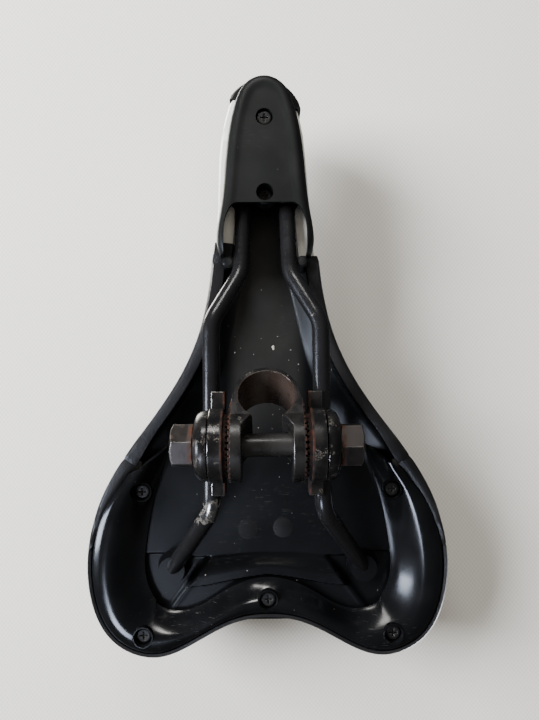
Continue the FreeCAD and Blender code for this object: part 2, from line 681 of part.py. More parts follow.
def make_rail_seats():
    """Front block and two rear sockets that hold the ends of the rails."""
    rails = [rail_shape(side, size("rail_radius")) for side in (-1, 1)]
    block = box((-13, -102, 12.2), (13, -91, FLOOR - 0.02))
    block = block.makeFillet(2.0, [edge for edge in block.Edges if edge.BoundBox.ZLength > 5])
    add_shape("front_rail_block", block.cut(rails[0]).cut(rails[1]))
    names = ("rear_socket_left", "rear_socket_right")
    for side, rail, name in zip((-1, 1), rails, names):
        end = rail_corners(side)[-1]
        socket = Part.makeCone(7.0, 5.6, 6.5, Vector(end.x, end.y, FLOOR - 0.02), Vector(0, 0, -1))
        add_shape(name, socket.cut(rail))


for piece in ("left", "right"):
    direction = -1 if piece == "left" else 1
    make_inner_plate("inner_plate_" + piece, direction)
    make_outer_plate("outer_plate_" + piece, direction)
    make_nut("clamp_nut_" + piece, direction, 15 if piece == "left" else 0)
    make_rail("rail_" + piece, direction)
make_clamp_band()
make_stud()
make_cover_panels()
make_wing_trim()
make_base_shell()
make_foam()
make_undercover()
make_rail_seats()
doc.recompute()

# ---------------------------------------------------------------- export
NODES = ["clamp_band", "inner_plate_left", "inner_plate_right", "outer_plate_left", "outer_plate_right",
         "clamp_stud", "clamp_nut_left", "clamp_nut_right", "rail_left", "rail_right", "cover_top",
         "nose_bumper", "side_panel_left", "side_panel_right", "side_skirt_left", "side_skirt_right",
         "foam_pad", "base_shell", "wing_trim", "nose_undercover", "front_rail_block",
         "rear_socket_left", "rear_socket_right", "trim_screws", "nose_screws"]
for item in doc.Objects:
    if "Invalid" in item.State or "Error" in item.State:
        raise RuntimeError("%s failed: %s" % (item.Label, item.State))
for node in NODES:
    item = doc.getObjectsByLabel(node)[0]
    shape = item.Shape
    if shape.isNull() or not shape.isValid() or not shape.Solids:
        raise RuntimeError(node + " has no valid solid")
    shape.exportStep("parts/%s.step" % node)
    extent = shape.BoundBox
    print("%-18s solids %d volume %9.1f  x %.1f..%.1f y %.1f..%.1f z %.1f..%.1f" % (
        node, len(shape.Solids), shape.Volume, extent.XMin, extent.XMax,
        extent.YMin, extent.YMax, extent.ZMin, extent.ZMax))
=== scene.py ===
import json
import math
import random

import bmesh
import bpy
import numpy as np
from mathutils import Matrix, Vector


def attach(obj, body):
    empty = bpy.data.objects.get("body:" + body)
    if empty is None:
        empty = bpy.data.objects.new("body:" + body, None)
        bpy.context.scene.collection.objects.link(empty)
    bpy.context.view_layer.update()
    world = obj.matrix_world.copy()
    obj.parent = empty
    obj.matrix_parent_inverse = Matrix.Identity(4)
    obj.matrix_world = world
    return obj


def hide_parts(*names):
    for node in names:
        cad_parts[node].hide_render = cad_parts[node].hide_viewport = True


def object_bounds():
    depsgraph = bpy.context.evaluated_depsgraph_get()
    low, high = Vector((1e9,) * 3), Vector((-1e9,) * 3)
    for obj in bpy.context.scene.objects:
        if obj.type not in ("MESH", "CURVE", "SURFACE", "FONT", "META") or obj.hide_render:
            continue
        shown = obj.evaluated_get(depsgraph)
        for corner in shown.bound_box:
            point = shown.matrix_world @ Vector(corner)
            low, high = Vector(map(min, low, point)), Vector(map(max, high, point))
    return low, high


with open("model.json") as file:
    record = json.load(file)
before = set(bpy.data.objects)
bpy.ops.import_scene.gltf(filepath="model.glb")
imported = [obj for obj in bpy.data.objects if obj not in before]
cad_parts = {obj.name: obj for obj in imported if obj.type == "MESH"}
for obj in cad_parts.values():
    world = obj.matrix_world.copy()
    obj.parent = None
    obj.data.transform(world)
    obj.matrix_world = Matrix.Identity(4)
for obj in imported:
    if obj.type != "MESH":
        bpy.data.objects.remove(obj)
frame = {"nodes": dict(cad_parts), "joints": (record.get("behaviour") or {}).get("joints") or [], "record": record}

CAD_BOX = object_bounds()
MM = 0.001
TAU = 2 * math.pi
DOWN = Vector((0, 0, -1))
MERGE = 0.02        # points nearer than this many millimetres become one
random.seed(7)

# Places read from the frame, in millimetres.
JOINTS = {joint["name"]: joint for joint in frame["joints"]}
BOLT = Vector(JOINTS["tilt"]["pos_m"]) / MM
MOUNT = frame["record"]["mounts"][0]
BORE_AXIS = Vector(MOUNT["axis"])
BORE_RADIUS = MOUNT["dims"]["r_mm"]
SLOTS = {row["node"]: row["material_slot"] for row in frame["record"]["subparts"]}

# The saddle is drawn in millimetres about its own datum, in which the bolt axis lies here.
DATUM = BOLT - Vector((0, 16, -5.8))


side_by_side = np.column_stack


# ---- curves
def natural_spline(knots, values):
    """A smooth function through the given pairs."""
    knots = np.array(knots, float)
    values = np.array(values, float)
    step = np.diff(knots)
    count = len(knots)
    matrix = np.eye(count)
    right = np.zeros(count)
    for i in range(1, count - 1):
        matrix[i, i - 1:i + 2] = step[i - 1], 2 * (step[i - 1] + step[i]), step[i]
        right[i] = 6 * ((values[i + 1] - values[i]) / step[i] - (values[i] - values[i - 1]) / step[i - 1])
    bend = np.linalg.solve(matrix, right)

    def evaluate(x):
        x = np.clip(x, knots[0], knots[-1])
        i = np.clip(np.searchsorted(knots, x) - 1, 0, count - 2)
        b = (x - knots[i]) / step[i]
        a = 1 - b
        cubic = (a ** 3 - a) * bend[i] + (b ** 3 - b) * bend[i + 1]
        return a * values[i] + b * values[i + 1] + cubic * step[i] ** 2 / 6
    return evaluate


def between(value, pairs):
    """Straight lines from one of the given pairs to the next."""
    return np.interp(value, *zip(*pairs))


def lengths(path):
    """Distance along a path at each of its points."""
    return np.concatenate([[0], np.cumsum(np.linalg.norm(np.diff(path, axis=0), axis=1))])


def fine_half(points):
    """Half of a closed symmetric outline as many points, from the nose to the mid-plane at the rear."""
    half = np.array(points, float)
    ring = whole_ring(half)
    laps = np.vstack([ring, ring, ring, ring[:1]])
    along = lengths(laps)
    ahead = np.linspace(along[len(ring)], along[len(ring) + len(half) - 1], 3000)
    return side_by_side([natural_spline(along, laps[:, axis])(ahead) for axis in (0, 1)])


def resample(path, count):
    """The same path as evenly spaced points."""
    along = lengths(path)
    places = np.linspace(0, along[-1], count)
    return side_by_side([np.interp(places, along, path[:, axis]) for axis in range(path.shape[1])])


def whole_ring(half):
    """The right half and its mirror image, without the two shared ends twice."""
    return np.vstack([half, half[-2:0:-1] * (-1, 1)])


def inward_normals(ring):
    """At each point of a closed outline, the direction into it."""
    tangent = np.roll(ring, -1, axis=0) - np.roll(ring, 1, axis=0)
    tangent /= np.linalg.norm(tangent, axis=1)[:, None]
    return side_by_side([-tangent[:, 1], tangent[:, 0]])


def smooth_step(low, high, value):
    t = np.clip((value - low) / (high - low), 0, 1)
    return t * t * (3 - 2 * t)


def bell(value, width):
    return np.exp(-(value / width) ** 2)


# ---- the saddle's surfaces
# Half of the plan outline, x and y, from the tip of the nose to the notch at the rear.
OUTLINE = [(0, -141), (10.8, -136), (15.7, -126), (18.6, -106), (21.6, -64), (29.6, -26),
           (50, 8), (68, 34), (76.5, 59.5), (75.6, 84.5), (66.7, 101.4), (48, 108.7),
           (30.3, 102.2), (11.7, 93.7), (0, 92.4)]
# Crown of the top: y, height of the centre line, half-width of the section, drop at its edge.
CROWN = [(-147, 37, 27, 14), (-130, 44, 28, 14), (-92, 48, 30, 13), (-50, 47, 34, 13),
         (-10, 47, 48, 17), (30, 51, 75, 24), (65, 58, 84, 27), (94, 60, 84, 27), (116, 48, 84, 24)]
# Lower edge of the sides, the side seam, and the hem's width behind the trim's front: y and value.
RIM = [(-170, 20), (-128, 17), (-72, 16.4), (-20, 18), (22, 21), (60, 21.5), (130, 22)]
SEAM = [(-170, 33), (-60, 33), (40, 31), (130, 31)]
HEM_BEHIND = [(24, 6.4), (34, 6.0), (62, 1.7)]
# Where the bumper and the light panels end, on the right (1) and on the left (-1).
NOSE_END = {1: -127, -1: -131}
PANEL_END = {1: -62, -1: -68}
TRIM_FRONT = 24
FLOOR = 30.2
HEM = 4.8
# The roll of the cover's lower edge, its skin, and the pad inside it.
FOLD = 1.4
SKIN = 1.1
SKIN_TUCK = 0.35
PAD_INSET = 1.9
PAD_DROP = 2.0
PAD_BOTTOM = FLOOR + 3.4
PAD_ABOVE_RIM = 2.6
# Walls of the mouldings, and the radii of their screw wells.
TRIM_WALL = 1.5
BASE_WALL = 1.2
CUP_WALL = 2.0
WELL = 3.5
SCREW_HOLE = 1.7

CROWN_Y, *CROWN_VALUES = zip(*CROWN)
CROWN_CURVES = [natural_spline(CROWN_Y, values) for values in CROWN_VALUES]


def crown_height(x, y):
    """The top side: an arc across the saddle at every y."""
    top, half, fall = [curve(y) for curve in CROWN_CURVES]
    radius = (half ** 2 + fall ** 2) / (2 * fall)
    return top - radius + np.sqrt(radius ** 2 - x ** 2)


def rim_height(y):
    return between(y, RIM)


def seam_height(y):
    return between(y, SEAM)


def edge_columns(count):
    """Half outline as evenly spaced columns, with one exactly at each place where panels meet."""
    fine = fine_half(OUTLINE)
    half = resample(fine, count)
    flank = fine[:np.argmax(fine[:, 1] > 55)]
    for level in (NOSE_END[-1], NOSE_END[1], PANEL_END[-1], PANEL_END[1], TRIM_FRONT):
        x = np.interp(level, flank[:, 1], flank[:, 0])
        nearest = np.argmin(np.hypot(half[:, 0] - x, half[:, 1] - level))
        half[nearest] = x, level
    return half


HALF_EDGE = edge_columns(190)
EDGE = whole_ring(HALF_EDGE)
INWARD = inward_normals(EDGE)
SIDE = np.where(np.arange(len(EDGE)) < len(HALF_EDGE), 1, -1)


# ---- meshes
def new_object(name, vertices, faces):
    """A smooth-shaded mesh object from points in millimetres about the saddle's datum."""
    mesh = bpy.data.meshes.new(name)
    moved = (np.array(vertices, float) + np.array(DATUM)) * MM
    mesh.from_pydata(moved.tolist(), [], faces)
    mesh.validate()
    piece = bpy.data.objects.new(name, mesh)
    bpy.context.scene.collection.objects.link(piece)
    return piece


def grid_faces(rows, columns, closed, keep=None):
    """Faces between rows of points; a closed grid joins its last column to its first."""
    faces = []
    for r in range(rows - 1):
        for c in range(columns if closed else columns - 1):
            if keep is not None and not keep(r, c):
                continue
            after = (c + 1) % columns
            faces.append((r * columns + c, r * columns + after,
                          (r + 1) * columns + after, (r + 1) * columns + c))
    return faces


def grid_object(name, grid, closed, keep=None):
    rows, columns = grid.shape[:2]
    return new_object(name, grid.reshape(-1, 3), grid_faces(rows, columns, closed, keep))


def clean(piece, outward=None):
    """Merges doubled points, drops loose ones and turns the faces outwards, or mostly to one side."""
    work = bmesh.new()
    work.from_mesh(piece.data)
    bmesh.ops.remove_doubles(work, verts=work.verts, dist=MERGE * MM)
    loose = [vertex for vertex in work.verts if not vertex.link_faces]
    bmesh.ops.delete(work, geom=loose, context="VERTS")
    if outward is None:
        bmesh.ops.recalc_face_normals(work, faces=work.faces)
    else:
        work.normal_update()
        total = sum((face.normal * face.calc_area() for face in work.faces), Vector())
        if total.dot(outward) < 0:
            bmesh.ops.reverse_faces(work, faces=work.faces)
    work.to_mesh(piece.data)
    work.free()


def shift_by_normals(piece, stations, tuck, lean):
    """Moves the skin outwards, more or less along the saddle, and its free edges inwards by the tuck."""
    work = bmesh.new()
    work.from_mesh(piece.data)
    work.normal_update()
    moves = []
    for vertex in work.verts:
        free = any(edge.is_boundary for edge in vertex.link_edges)
        along = vertex.co.y / MM - DATUM.y
        amount = between(along, stations) - lean * vertex.co.x / MM - (tuck if free else 0)
        moves.append((vertex, vertex.normal * amount * MM))
    for vertex, move in moves:
        vertex.co += move
    work.to_mesh(piece.data)
    work.free()


def apply_modifiers(piece):
    """Turns what the modifiers make into the piece's own mesh."""
    bpy.context.view_layer.update()
    depsgraph = bpy.context.evaluated_depsgraph_get()
    mesh = bpy.data.meshes.new_from_object(piece.evaluated_get(depsgraph))
    piece.modifiers.clear()
    piece.data = mesh


def thicken(piece, thickness):
    """Gives a skin its thickness, all of it behind its outer side."""
    modifier = piece.modifiers.new("thickness", "SOLIDIFY")
    modifier.thickness = thickness * MM
    modifier.offset = -1
    modifier.use_even_offset = False
    apply_modifiers(piece)


def cut_away(piece, vertices, faces):
    """Takes a closed shape out of the piece."""
    tool = new_object("cutting_shape", vertices, faces)
    clean(tool)
    modifier = piece.modifiers.new("cut", "BOOLEAN")
    modifier.operation = "DIFFERENCE"
    modifier.solver = "EXACT"
    modifier.object = tool
    apply_modifiers(piece)
    bpy.data.objects.remove(tool)


def smooth(piece, angle):
    for polygon in piece.data.polygons:
        polygon.use_smooth = True
    piece.data.set_sharp_from_angle(angle=math.radians(angle))


def finish_piece(piece, slot, nodes=(), angle=40, material=None):
    smooth(piece, angle)
    piece.data.materials.clear()
    piece.data.materials.append(MATERIALS[material or slot])
    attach(piece, "saddle")
    if nodes:
        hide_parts(*nodes)
    return piece


def lathe(profile, centre, steps=40, axis=Vector((0, 0, 1))):
    """Points and faces of a turned shape: its profile is pairs of radius and height."""
    turn = Vector((0, 0, 1)).rotation_difference(axis)
    vertices = []
    for radius, height in profile:
        for step in range(steps):
            angle = TAU * step / steps
            spot = Vector((radius * math.cos(angle), radius * math.sin(angle), height))
            vertices.append(tuple(Vector(centre) + turn @ spot))
    return vertices, grid_faces(len(profile), steps, True)


def joined(parts):
    """One list of points and faces from several."""
    vertices, faces = [], []
    for points, polygons in parts:
        start = len(vertices)
        vertices.extend(points)
        faces.extend(tuple(index + start for index in polygon) for polygon in polygons)
    return vertices, faces


def prism(outline, low, high):
    """Points and faces of an upright block on the given outline."""
    count = len(outline)
    vertices = [(x, y, z) for z in (low, high) for x, y in outline]
    faces = [(i, (i + 1) % count, count + (i + 1) % count, count + i) for i in range(count)]
    faces += [tuple(range(count - 1, -1, -1)), tuple(range(count, 2 * count))]
    return vertices, faces


def detail(name, parts, slot, angle=40, outward=None, material=None):
    """A small piece, made of several points-and-faces parts, that stands for no CAD node."""
    piece = new_object(name, *joined(parts))
    clean(piece, outward)
    finish_piece(piece, slot, angle=angle, material=material)


def capsule(start, end, radius, steps=6):
    """A short rounded thread between two points."""
    axis = Vector(end) - Vector(start)
    length = axis.length
    profile = [(0.05 * radius, 0), (0.7 * radius, 0.12 * length), (radius, 0.3 * length),
               (radius, 0.7 * length), (0.7 * radius, 0.88 * length), (0.05 * radius, length)]
    return lathe(profile, start, steps, axis.normalized())


# ---- materials
class Graph:
    """A material put together from nodes, with textures in the frame's own coordinates."""

    def __init__(self, name):
        self.material = bpy.data.materials.new(name)
        self.material.use_nodes = True
        self.nodes = self.material.node_tree.nodes
        self.links = self.material.node_tree.links
        self.nodes.clear()
        self.surface = self.node("OutputMaterial").inputs["Surface"]
        self.place = self.node("TexCoord").outputs["Object"]

    def feed(self, socket, value):
        if isinstance(value, bpy.types.NodeSocket):
            self.links.new(value, socket)
        else:
            socket.default_value = value

    def node(self, kind, **values):
        """A new node whose inputs get the given values or links; _ stands for a space in a name."""
        node = self.nodes.new("ShaderNode" + kind)
        for name, value in values.items():
            self.feed(node.inputs[name.replace("_", " ")], value)
        return node

    def noise(self, per_mm, detail=3.0, stretch=(1, 1, 1)):
        vector = self.node("Mapping", Vector=self.place, Scale=stretch).outputs[0]
        return self.node("TexNoise", Scale=per_mm / MM, Detail=detail, Vector=vector).outputs["Fac"]

    def cells(self, per_mm, feature="F1", output="Distance"):
        node = self.node("TexVoronoi", Scale=per_mm / MM, Vector=self.place)
        node.feature = feature
        return node.outputs[output]

    def math(self, operation, first, second=0.0):
        node = self.node("Math")
        node.operation = operation
        self.feed(node.inputs[0], first)
        self.feed(node.inputs[1], second)
        return node.outputs[0]

    def times(self, first, second):
        return self.math("MULTIPLY", first, second)

    def plus(self, first, second):
        return self.math("ADD", first, second)

    def larger(self, first, second):
        return self.math("MAXIMUM", first, second)

    def distance(self, value, place):
        """How far a coordinate is from a place given in millimetres."""
        return self.math("ABSOLUTE", self.math("SUBTRACT", value, place * MM))

    def vector(self, operation, output, first, second=None):
        node = self.node("VectorMath")
        node.operation = operation
        self.feed(node.inputs[0], first)
        if second is not None:
            self.feed(node.inputs[1], second)
        return node.outputs[output]

    def fade(self, value, low, high, start=0.0, end=1.0):
        """A smooth change from start to end while the value goes from low to high."""
        node = self.node("MapRange", Value=value, From_Min=low, From_Max=high, To_Min=start, To_Max=end)
        node.interpolation_type = "SMOOTHSTEP"
        return node.outputs[0]

    def mix(self, factor, first, second):
        node = self.node("Mix")
        node.data_type = "RGBA"
        self.feed(node.inputs["Factor"], factor)
        for socket, colour in ((node.inputs["A"], first), (node.inputs["B"], second)):
            self.feed(socket, colour if isinstance(colour, bpy.types.NodeSocket) else (*colour, 1))
        return node.outputs["Result"]

    def axis(self, name):
        return self.node("SeparateXYZ", Vector=self.place).outputs[name]

    def bump(self, height, strength, distance, normal=None):
        node = self.node("Bump", Strength=strength, Distance=distance * MM, Height=height)
        if normal is not None:
            self.links.new(normal, node.inputs["Normal"])
        return node.outputs[0]

    def rounded(self, radius):
        """The normal rounded over sharp edges, and how near a sharp edge the point is."""
        bevel = self.node("Bevel", Radius=radius * MM)
        bevel.samples = 6
        normal = self.node("NewGeometry").outputs["Normal"]
        alike = self.vector("DOT_PRODUCT", "Value", bevel.outputs[0], normal)
        return bevel.outputs[0], self.fade(alike, 0.995, 0.90)

    def specks(self, per_mm, size, amount):
        """Scattered small spots: a fraction of the cells hold one."""
        spots = self.fade(self.cells(per_mm), size, size * 0.6)
        chosen = self.fade(self.cells(per_mm, output="Color"), 1 - amount, 1 - amount + 0.02)
        return self.times(spots, chosen)


class Shader(Graph):
    """A principled material."""

    def __init__(self, name, specular=0.5):
        super().__init__(name)
        self.shader = self.node("BsdfPrincipled", Specular_IOR_Level=specular)
        self.links.new(self.shader.outputs[0], self.surface)

    def set(self, name, value):
        self.feed(self.shader.inputs[name], value)


def plastic(name, dark, light, rough, grain, dust, specular=0.5, painted_shade_zone=None):
    """Moulded plastic: faint mottling, handling smears, a fine grain, hair scratches and dust, and where asked,
    painted shade that turns it nearly black towards the rear and out on the flanks.
    """
    made = Shader(name, specular)
    mottle = made.fade(made.noise(0.06, 4), 0.35, 0.7)
    specks = made.times(made.specks(0.55, 0.17, 0.12), dust)
    scratch = made.fade(made.noise(0.25, 2, (1, 14, 1)), 0.66, 0.72)
    scratch = made.times(scratch, made.fade(made.noise(0.03, 2), 0.5, 0.7))
    colour = made.mix(mottle, dark, light)
    if painted_shade_zone is not None:
        # Painted shade: the colour fades to near black from the front to the rear bound along y, and from the
        # inner to the outer bound across |x|, in millimetres.
        front, rear, inner, outer = [place * MM for place in painted_shade_zone]
        behind = made.fade(made.axis("Y"), front, rear)
        flank = made.fade(made.math("ABSOLUTE", made.axis("X")), inner, outer)
        painted_shade = made.times(made.larger(behind, flank), 0.95)
        colour = made.mix(painted_shade, colour, (0.0016, 0.0018, 0.0024))
    colour = made.mix(made.times(scratch, 0.10), colour, (0.30, 0.30, 0.30))
    colour = made.mix(specks, colour, (0.42, 0.41, 0.38))
    made.set("Base Color", colour)
    smear = made.fade(made.noise(0.035, 5), 0.3, 0.75, rough, rough + 0.14)
    made.set("Roughness", made.plus(smear, made.times(scratch, 0.2)))
    fine = made.plus(made.times(made.noise(1.6, 3), grain), made.times(scratch, -0.1))
    made.set("Normal", made.bump(fine, 0.35, 0.08))
    return made.material


def vinyl(name, dark, light, rough, stain, stain_colour):
    """Grained leathercloth: pebbled cells with fine creases darkened by painted shade, and soiling."""
    made = Shader(name, specular=0.45)
    pebble = made.cells(0.75, "SMOOTH_F1")
    crease = made.fade(made.cells(0.75, "DISTANCE_TO_EDGE"), 0.0, 0.16)
    height = made.plus(made.times(crease, 0.7), made.times(pebble, -0.5))
    height = made.plus(height, made.times(made.noise(2.2, 3), 0.25))
    colour = made.mix(made.noise(0.05, 4), dark, light)
    # Painted shade: the colour sinks to the dark tone down in the grain's creases.
    colour = made.mix(made.times(made.fade(crease, 0.5, 0.0), 0.35), colour, dark)
    dirt = made.times(made.fade(made.noise(0.045, 6), 0.46, 0.72), stain)
    colour = made.mix(dirt, colour, stain_colour)
    made.set("Base Color", colour)
    made.set("Roughness", made.fade(made.noise(0.06, 4), 0.3, 0.7, rough - 0.06, rough + 0.10))
    made.set("Normal", made.bump(height, 0.45, 0.12))
    return made.material


def worn_coat(name, coat_colour, metal_colour, rough, wear_low, wear_high, rubbed_y=None):
    """Black-coated steel that shows bare metal at its edges and where something rubbed it."""
    made = Shader(name)
    normal, edge = made.rounded(0.5)
    patch = made.noise(0.22, 5)
    worn = made.fade(made.plus(patch, made.times(edge, 0.35)), wear_low, wear_high)
    if rubbed_y is not None:
        patch = made.fade(made.distance(made.axis("Y"), rubbed_y), 12 * MM, 2 * MM, 0, 0.60)
        rubbed = made.plus(patch, made.times(made.noise(0.40, 6), 0.62))
        worn = made.larger(worn, made.fade(rubbed, 0.80, 0.95))
    made.set("Base Color", made.mix(worn, coat_colour, metal_colour))
    made.set("Metallic", worn)
    made.set("Roughness", made.fade(made.noise(0.1, 4), 0.3, 0.7, rough, rough + 0.16))
    made.set("Normal", made.bump(made.noise(0.9, 4), 0.18, 0.10, normal))
    return made.material


def distance_from_axis(made, point, direction):
    """How far a point lies from a line, in metres."""
    offset = made.vector("SUBTRACT", "Vector", made.place, Vector(point) * MM)
    cross = made.vector("CROSS_PRODUCT", "Vector", offset, direction)
    return made.vector("LENGTH", "Value", cross)


# Where the ear meets the inner plate, where the outer plate meets it, and the nut's collar: |x|.
TOOTH_GAP = 15.4
PLATE_GAP = 27.9
COLLAR = 28.2


def clamp_steel():
    """Black pressed steel: worn edges, pitted skin, scuffs, rust in the gaps and a brown bore with a painted
    highlight down its wall.
    """
    made = Shader("clamp_steel_worn")
    normal, edge = made.rounded(0.7)
    pits = made.noise(0.8, 6)
    patch = made.noise(0.12, 5)
    dark = made.mix(made.fade(patch, 0.3, 0.7), (0.004, 0.004, 0.0045), (0.013, 0.012, 0.0115))
    across = made.math("ABSOLUTE", made.axis("X"))
    gap = made.fade(made.distance(across, TOOTH_GAP), 2.1 * MM, 1.5 * MM)
    outer_gap = made.fade(made.distance(across, PLATE_GAP), 1.0 * MM, 0.4 * MM)
    open_air = made.math("SUBTRACT", 1.0, gap)
    worn = made.fade(made.plus(made.times(edge, 0.6), made.times(pits, 0.8)), 0.68, 0.86)
    worn = made.times(worn, open_air)
    colour = made.mix(worn, dark, (0.34, 0.31, 0.285))
    scuff = made.fade(made.noise(0.16, 6), 0.60, 0.68)
    scuff = made.times(scuff, made.fade(made.noise(1.5, 4), 0.48, 0.60))
    scuff = made.times(scuff, open_air)
    colour = made.mix(made.times(scuff, 0.8), colour, (0.30, 0.275, 0.25))
    rust = made.larger(gap, outer_gap)
    rust = made.times(rust, made.fade(made.noise(0.30, 5), 0.25, 0.50, 0.45, 1.0))
    orange = made.mix(made.fade(made.noise(0.5, 4), 0.40, 0.70), (0.009, 0.006, 0.005), (0.048, 0.018, 0.011))
    colour = made.mix(rust, colour, orange)
    bore = distance_from_axis(made, (0, 0, 0), BORE_AXIS)
    bore = made.fade(bore, (BORE_RADIUS + 0.5) * MM, (BORE_RADIUS + 0.1) * MM)
    # Painted highlight: a lighter band down the bore's wall near x = -3 mm.
    painted_bore_highlight = made.fade(made.distance(made.axis("X"), -3), 5 * MM, 1 * MM)
    brown = made.mix(patch, (0.040, 0.028, 0.023), (0.085, 0.060, 0.050))
    brown = made.mix(made.times(painted_bore_highlight, 0.6), brown, (0.16, 0.14, 0.125))
    colour = made.mix(made.times(bore, 0.9), colour, brown)
    made.set("Base Color", colour)
    metal = made.larger(made.larger(worn, scuff), made.times(bore, 0.3))
    made.set("Metallic", made.times(metal, made.math("SUBTRACT", 1.0, rust)))
    made.set("Roughness", made.plus(made.fade(patch, 0.3, 0.7, 0.20, 0.36), made.times(rust, 0.5)))
    made.set("Normal", made.bump(made.plus(pits, scuff), 0.22, 0.12, normal))
    return made.material


def fastener_steel():
    """Bronze-grey nuts and stud, dull on the flats, bright at the corners, rusty at the collar."""
    made = Shader("fastener_steel_dull")
    normal, edge = made.rounded(0.6)
    patch = made.noise(0.16, 5)
    colour = made.mix(patch, (0.042, 0.037, 0.035), (0.105, 0.094, 0.088))
    worn = made.plus(made.times(edge, 0.7), made.times(made.noise(0.9, 5), 0.5))
    worn = made.fade(worn, 0.45, 0.75)
    colour = made.mix(worn, colour, (0.44, 0.41, 0.37))
    across = made.math("ABSOLUTE", made.axis("X"))
    collar = made.fade(made.distance(across, COLLAR), 1.9 * MM, 0.6 * MM)
    rust = made.times(collar, made.fade(made.noise(0.4, 5), 0.34, 0.58))
    rust = made.larger(rust, made.times(made.fade(made.noise(0.3, 6), 0.60, 0.7), 0.5))
    orange = made.mix(made.noise(0.7, 4), (0.022, 0.010, 0.008), (0.10, 0.034, 0.016))
    made.set("Base Color", made.mix(rust, colour, orange))
    made.set("Metallic", made.math("SUBTRACT", 0.9, made.times(rust, 0.85)))
    made.set("Roughness", made.plus(made.fade(patch, 0.3, 0.7, 0.34, 0.50), made.times(rust, 0.35)))
    made.set("Normal", made.bump(made.noise(0.8, 6), 0.3, 0.12, normal))
    return made.material


def foam_material():
    made = Shader("open_foam", specular=0.2)
    pores = made.cells(1.3, "SMOOTH_F1")
    made.set("Base Color", made.mix(made.noise(0.1, 3), (0.16, 0.16, 0.17), (0.24, 0.24, 0.26)))
    made.set("Roughness", made.fade(pores, 0.1, 0.6, 0.85, 1.0))
    made.set("Normal", made.bump(pores, 0.8, 0.3))
    return made.material


def thread_material():
    made = Shader("sewing_thread", specular=0.3)
    twist = made.noise(1.4, 2, (1, 4, 1))
    made.set("Base Color", made.mix(twist, (0.02, 0.02, 0.022), (0.07, 0.07, 0.075)))
    made.set("Roughness", made.fade(twist, 0.3, 0.7, 0.55, 0.8))
    made.set("Normal", made.bump(twist, 0.6, 0.1))
    return made.material


MATERIALS = {
    "trim_plastic": plastic(
        "gloss_black_plastic", (0.0025, 0.0027, 0.0032), (0.0045, 0.0048, 0.0056), 0.13, 0.05, 0.12),
    # The satin base gets painted shade, nearly black towards its rear and out on its flanks.
    "base_plastic": plastic(
        "satin_black_plastic", (0.017, 0.0174, 0.0178), (0.023, 0.0235, 0.024), 0.30, 0.35, 0.55, 0.40,
        painted_shade_zone=(-12, 34, 12, 19)),
    "undercover_plastic": plastic(
        "cover_black_plastic", (0.0065, 0.0072, 0.007), (0.0095, 0.0103, 0.010), 0.42, 0.30, 0.08, 0.28),
    "bumper_plastic": plastic(
        "bumper_black_plastic", (0.008, 0.008, 0.0085), (0.013, 0.013, 0.0135), 0.66, 0.7, 0.15, 0.12),
    "cover_vinyl": vinyl(
        "black_vinyl", (0.006, 0.006, 0.007), (0.014, 0.014, 0.016), 0.38, 0.10, (0.05, 0.05, 0.05)),
    "panel_vinyl": vinyl(
        "white_vinyl", (0.70, 0.71, 0.70), (0.80, 0.81, 0.80), 0.42, 0.30, (0.42, 0.41, 0.38)),
    "foam": foam_material(),
    "rail_steel": worn_coat(
        "coated_rail", (0.008, 0.008, 0.009), (0.46, 0.44, 0.41), 0.16, 0.74, 0.82),
    "rubbed_rail": worn_coat(
        "coated_rail_rubbed", (0.008, 0.008, 0.009), (0.40, 0.385, 0.36), 0.16, 0.78, 0.86, BOLT.y + 27),
    "clamp_steel": clamp_steel(),
    "fastener_steel": fastener_steel(),
    "stud": worn_coat(
        "stud_black", (0.022, 0.021, 0.021), (0.15, 0.145, 0.14), 0.24, 0.66, 0.92),
    "screw_steel": worn_coat(
        "screw_black", (0.008, 0.008, 0.008), (0.16, 0.155, 0.15), 0.40, 0.70, 0.95),
    "thread": thread_material(),
    "fleck": plastic("pale_flecks", (0.30, 0.30, 0.28), (0.55, 0.55, 0.52), 0.6, 0.6, 0.2),
    "ejector": plastic(
        "ejector_black_plastic", (0.005, 0.005, 0.006), (0.012, 0.012, 0.013), 0.55, 0.9, 0.3, 0.3),
}


# ---- stretched cover
TOP_SEAM = natural_spline([-140, -60, 0, 60, 112], [6, 7.5, 13, 20, 20])
# The side's row that lies on its seam, and the crown's rows beside the top seam.
SEAM_ROW = 10
STITCH_ROWS = (3, 7)
STITCH_PITCH = 3.6
STITCH_LENGTH = 2.5
# Behind this the seam and its stitches fade out towards the mid-plane.
NOTCH = 70


def rounding(y):
    """Radius of the roll from the sides to the crown: small on the nose, larger on the wings."""
    return 6.0 + 4.0 * smooth_step(0, 60, y)


def top_relief(x, y):
    """Shallow channel along the middle, and two soft swells under the sit bones."""
    channel = -1.7 * bell(x, 6.5) * smooth_step(-84, -55, y) * smooth_step(82, 52, y)
    swells = 1.6 * bell(np.abs(x) - 38, 20) * bell(y - 68, 28)
    return channel + swells


def centre_places():
    """Where each column meets the mid-plane: level with it on the flanks, drawn together at the ends."""
    y = HALF_EDGE[:, 1]
    along = lengths(HALF_EDGE)
    widest = np.argmax(HALF_EDGE[:, 1] > 58)
    rear = np.interp(along, [along[widest], along[-1]], [y[widest], 84])
    half = np.where(np.arange(len(y)) <= widest, np.maximum(y, -131), rear)
    return np.concatenate([half, half[-2:0:-1]])


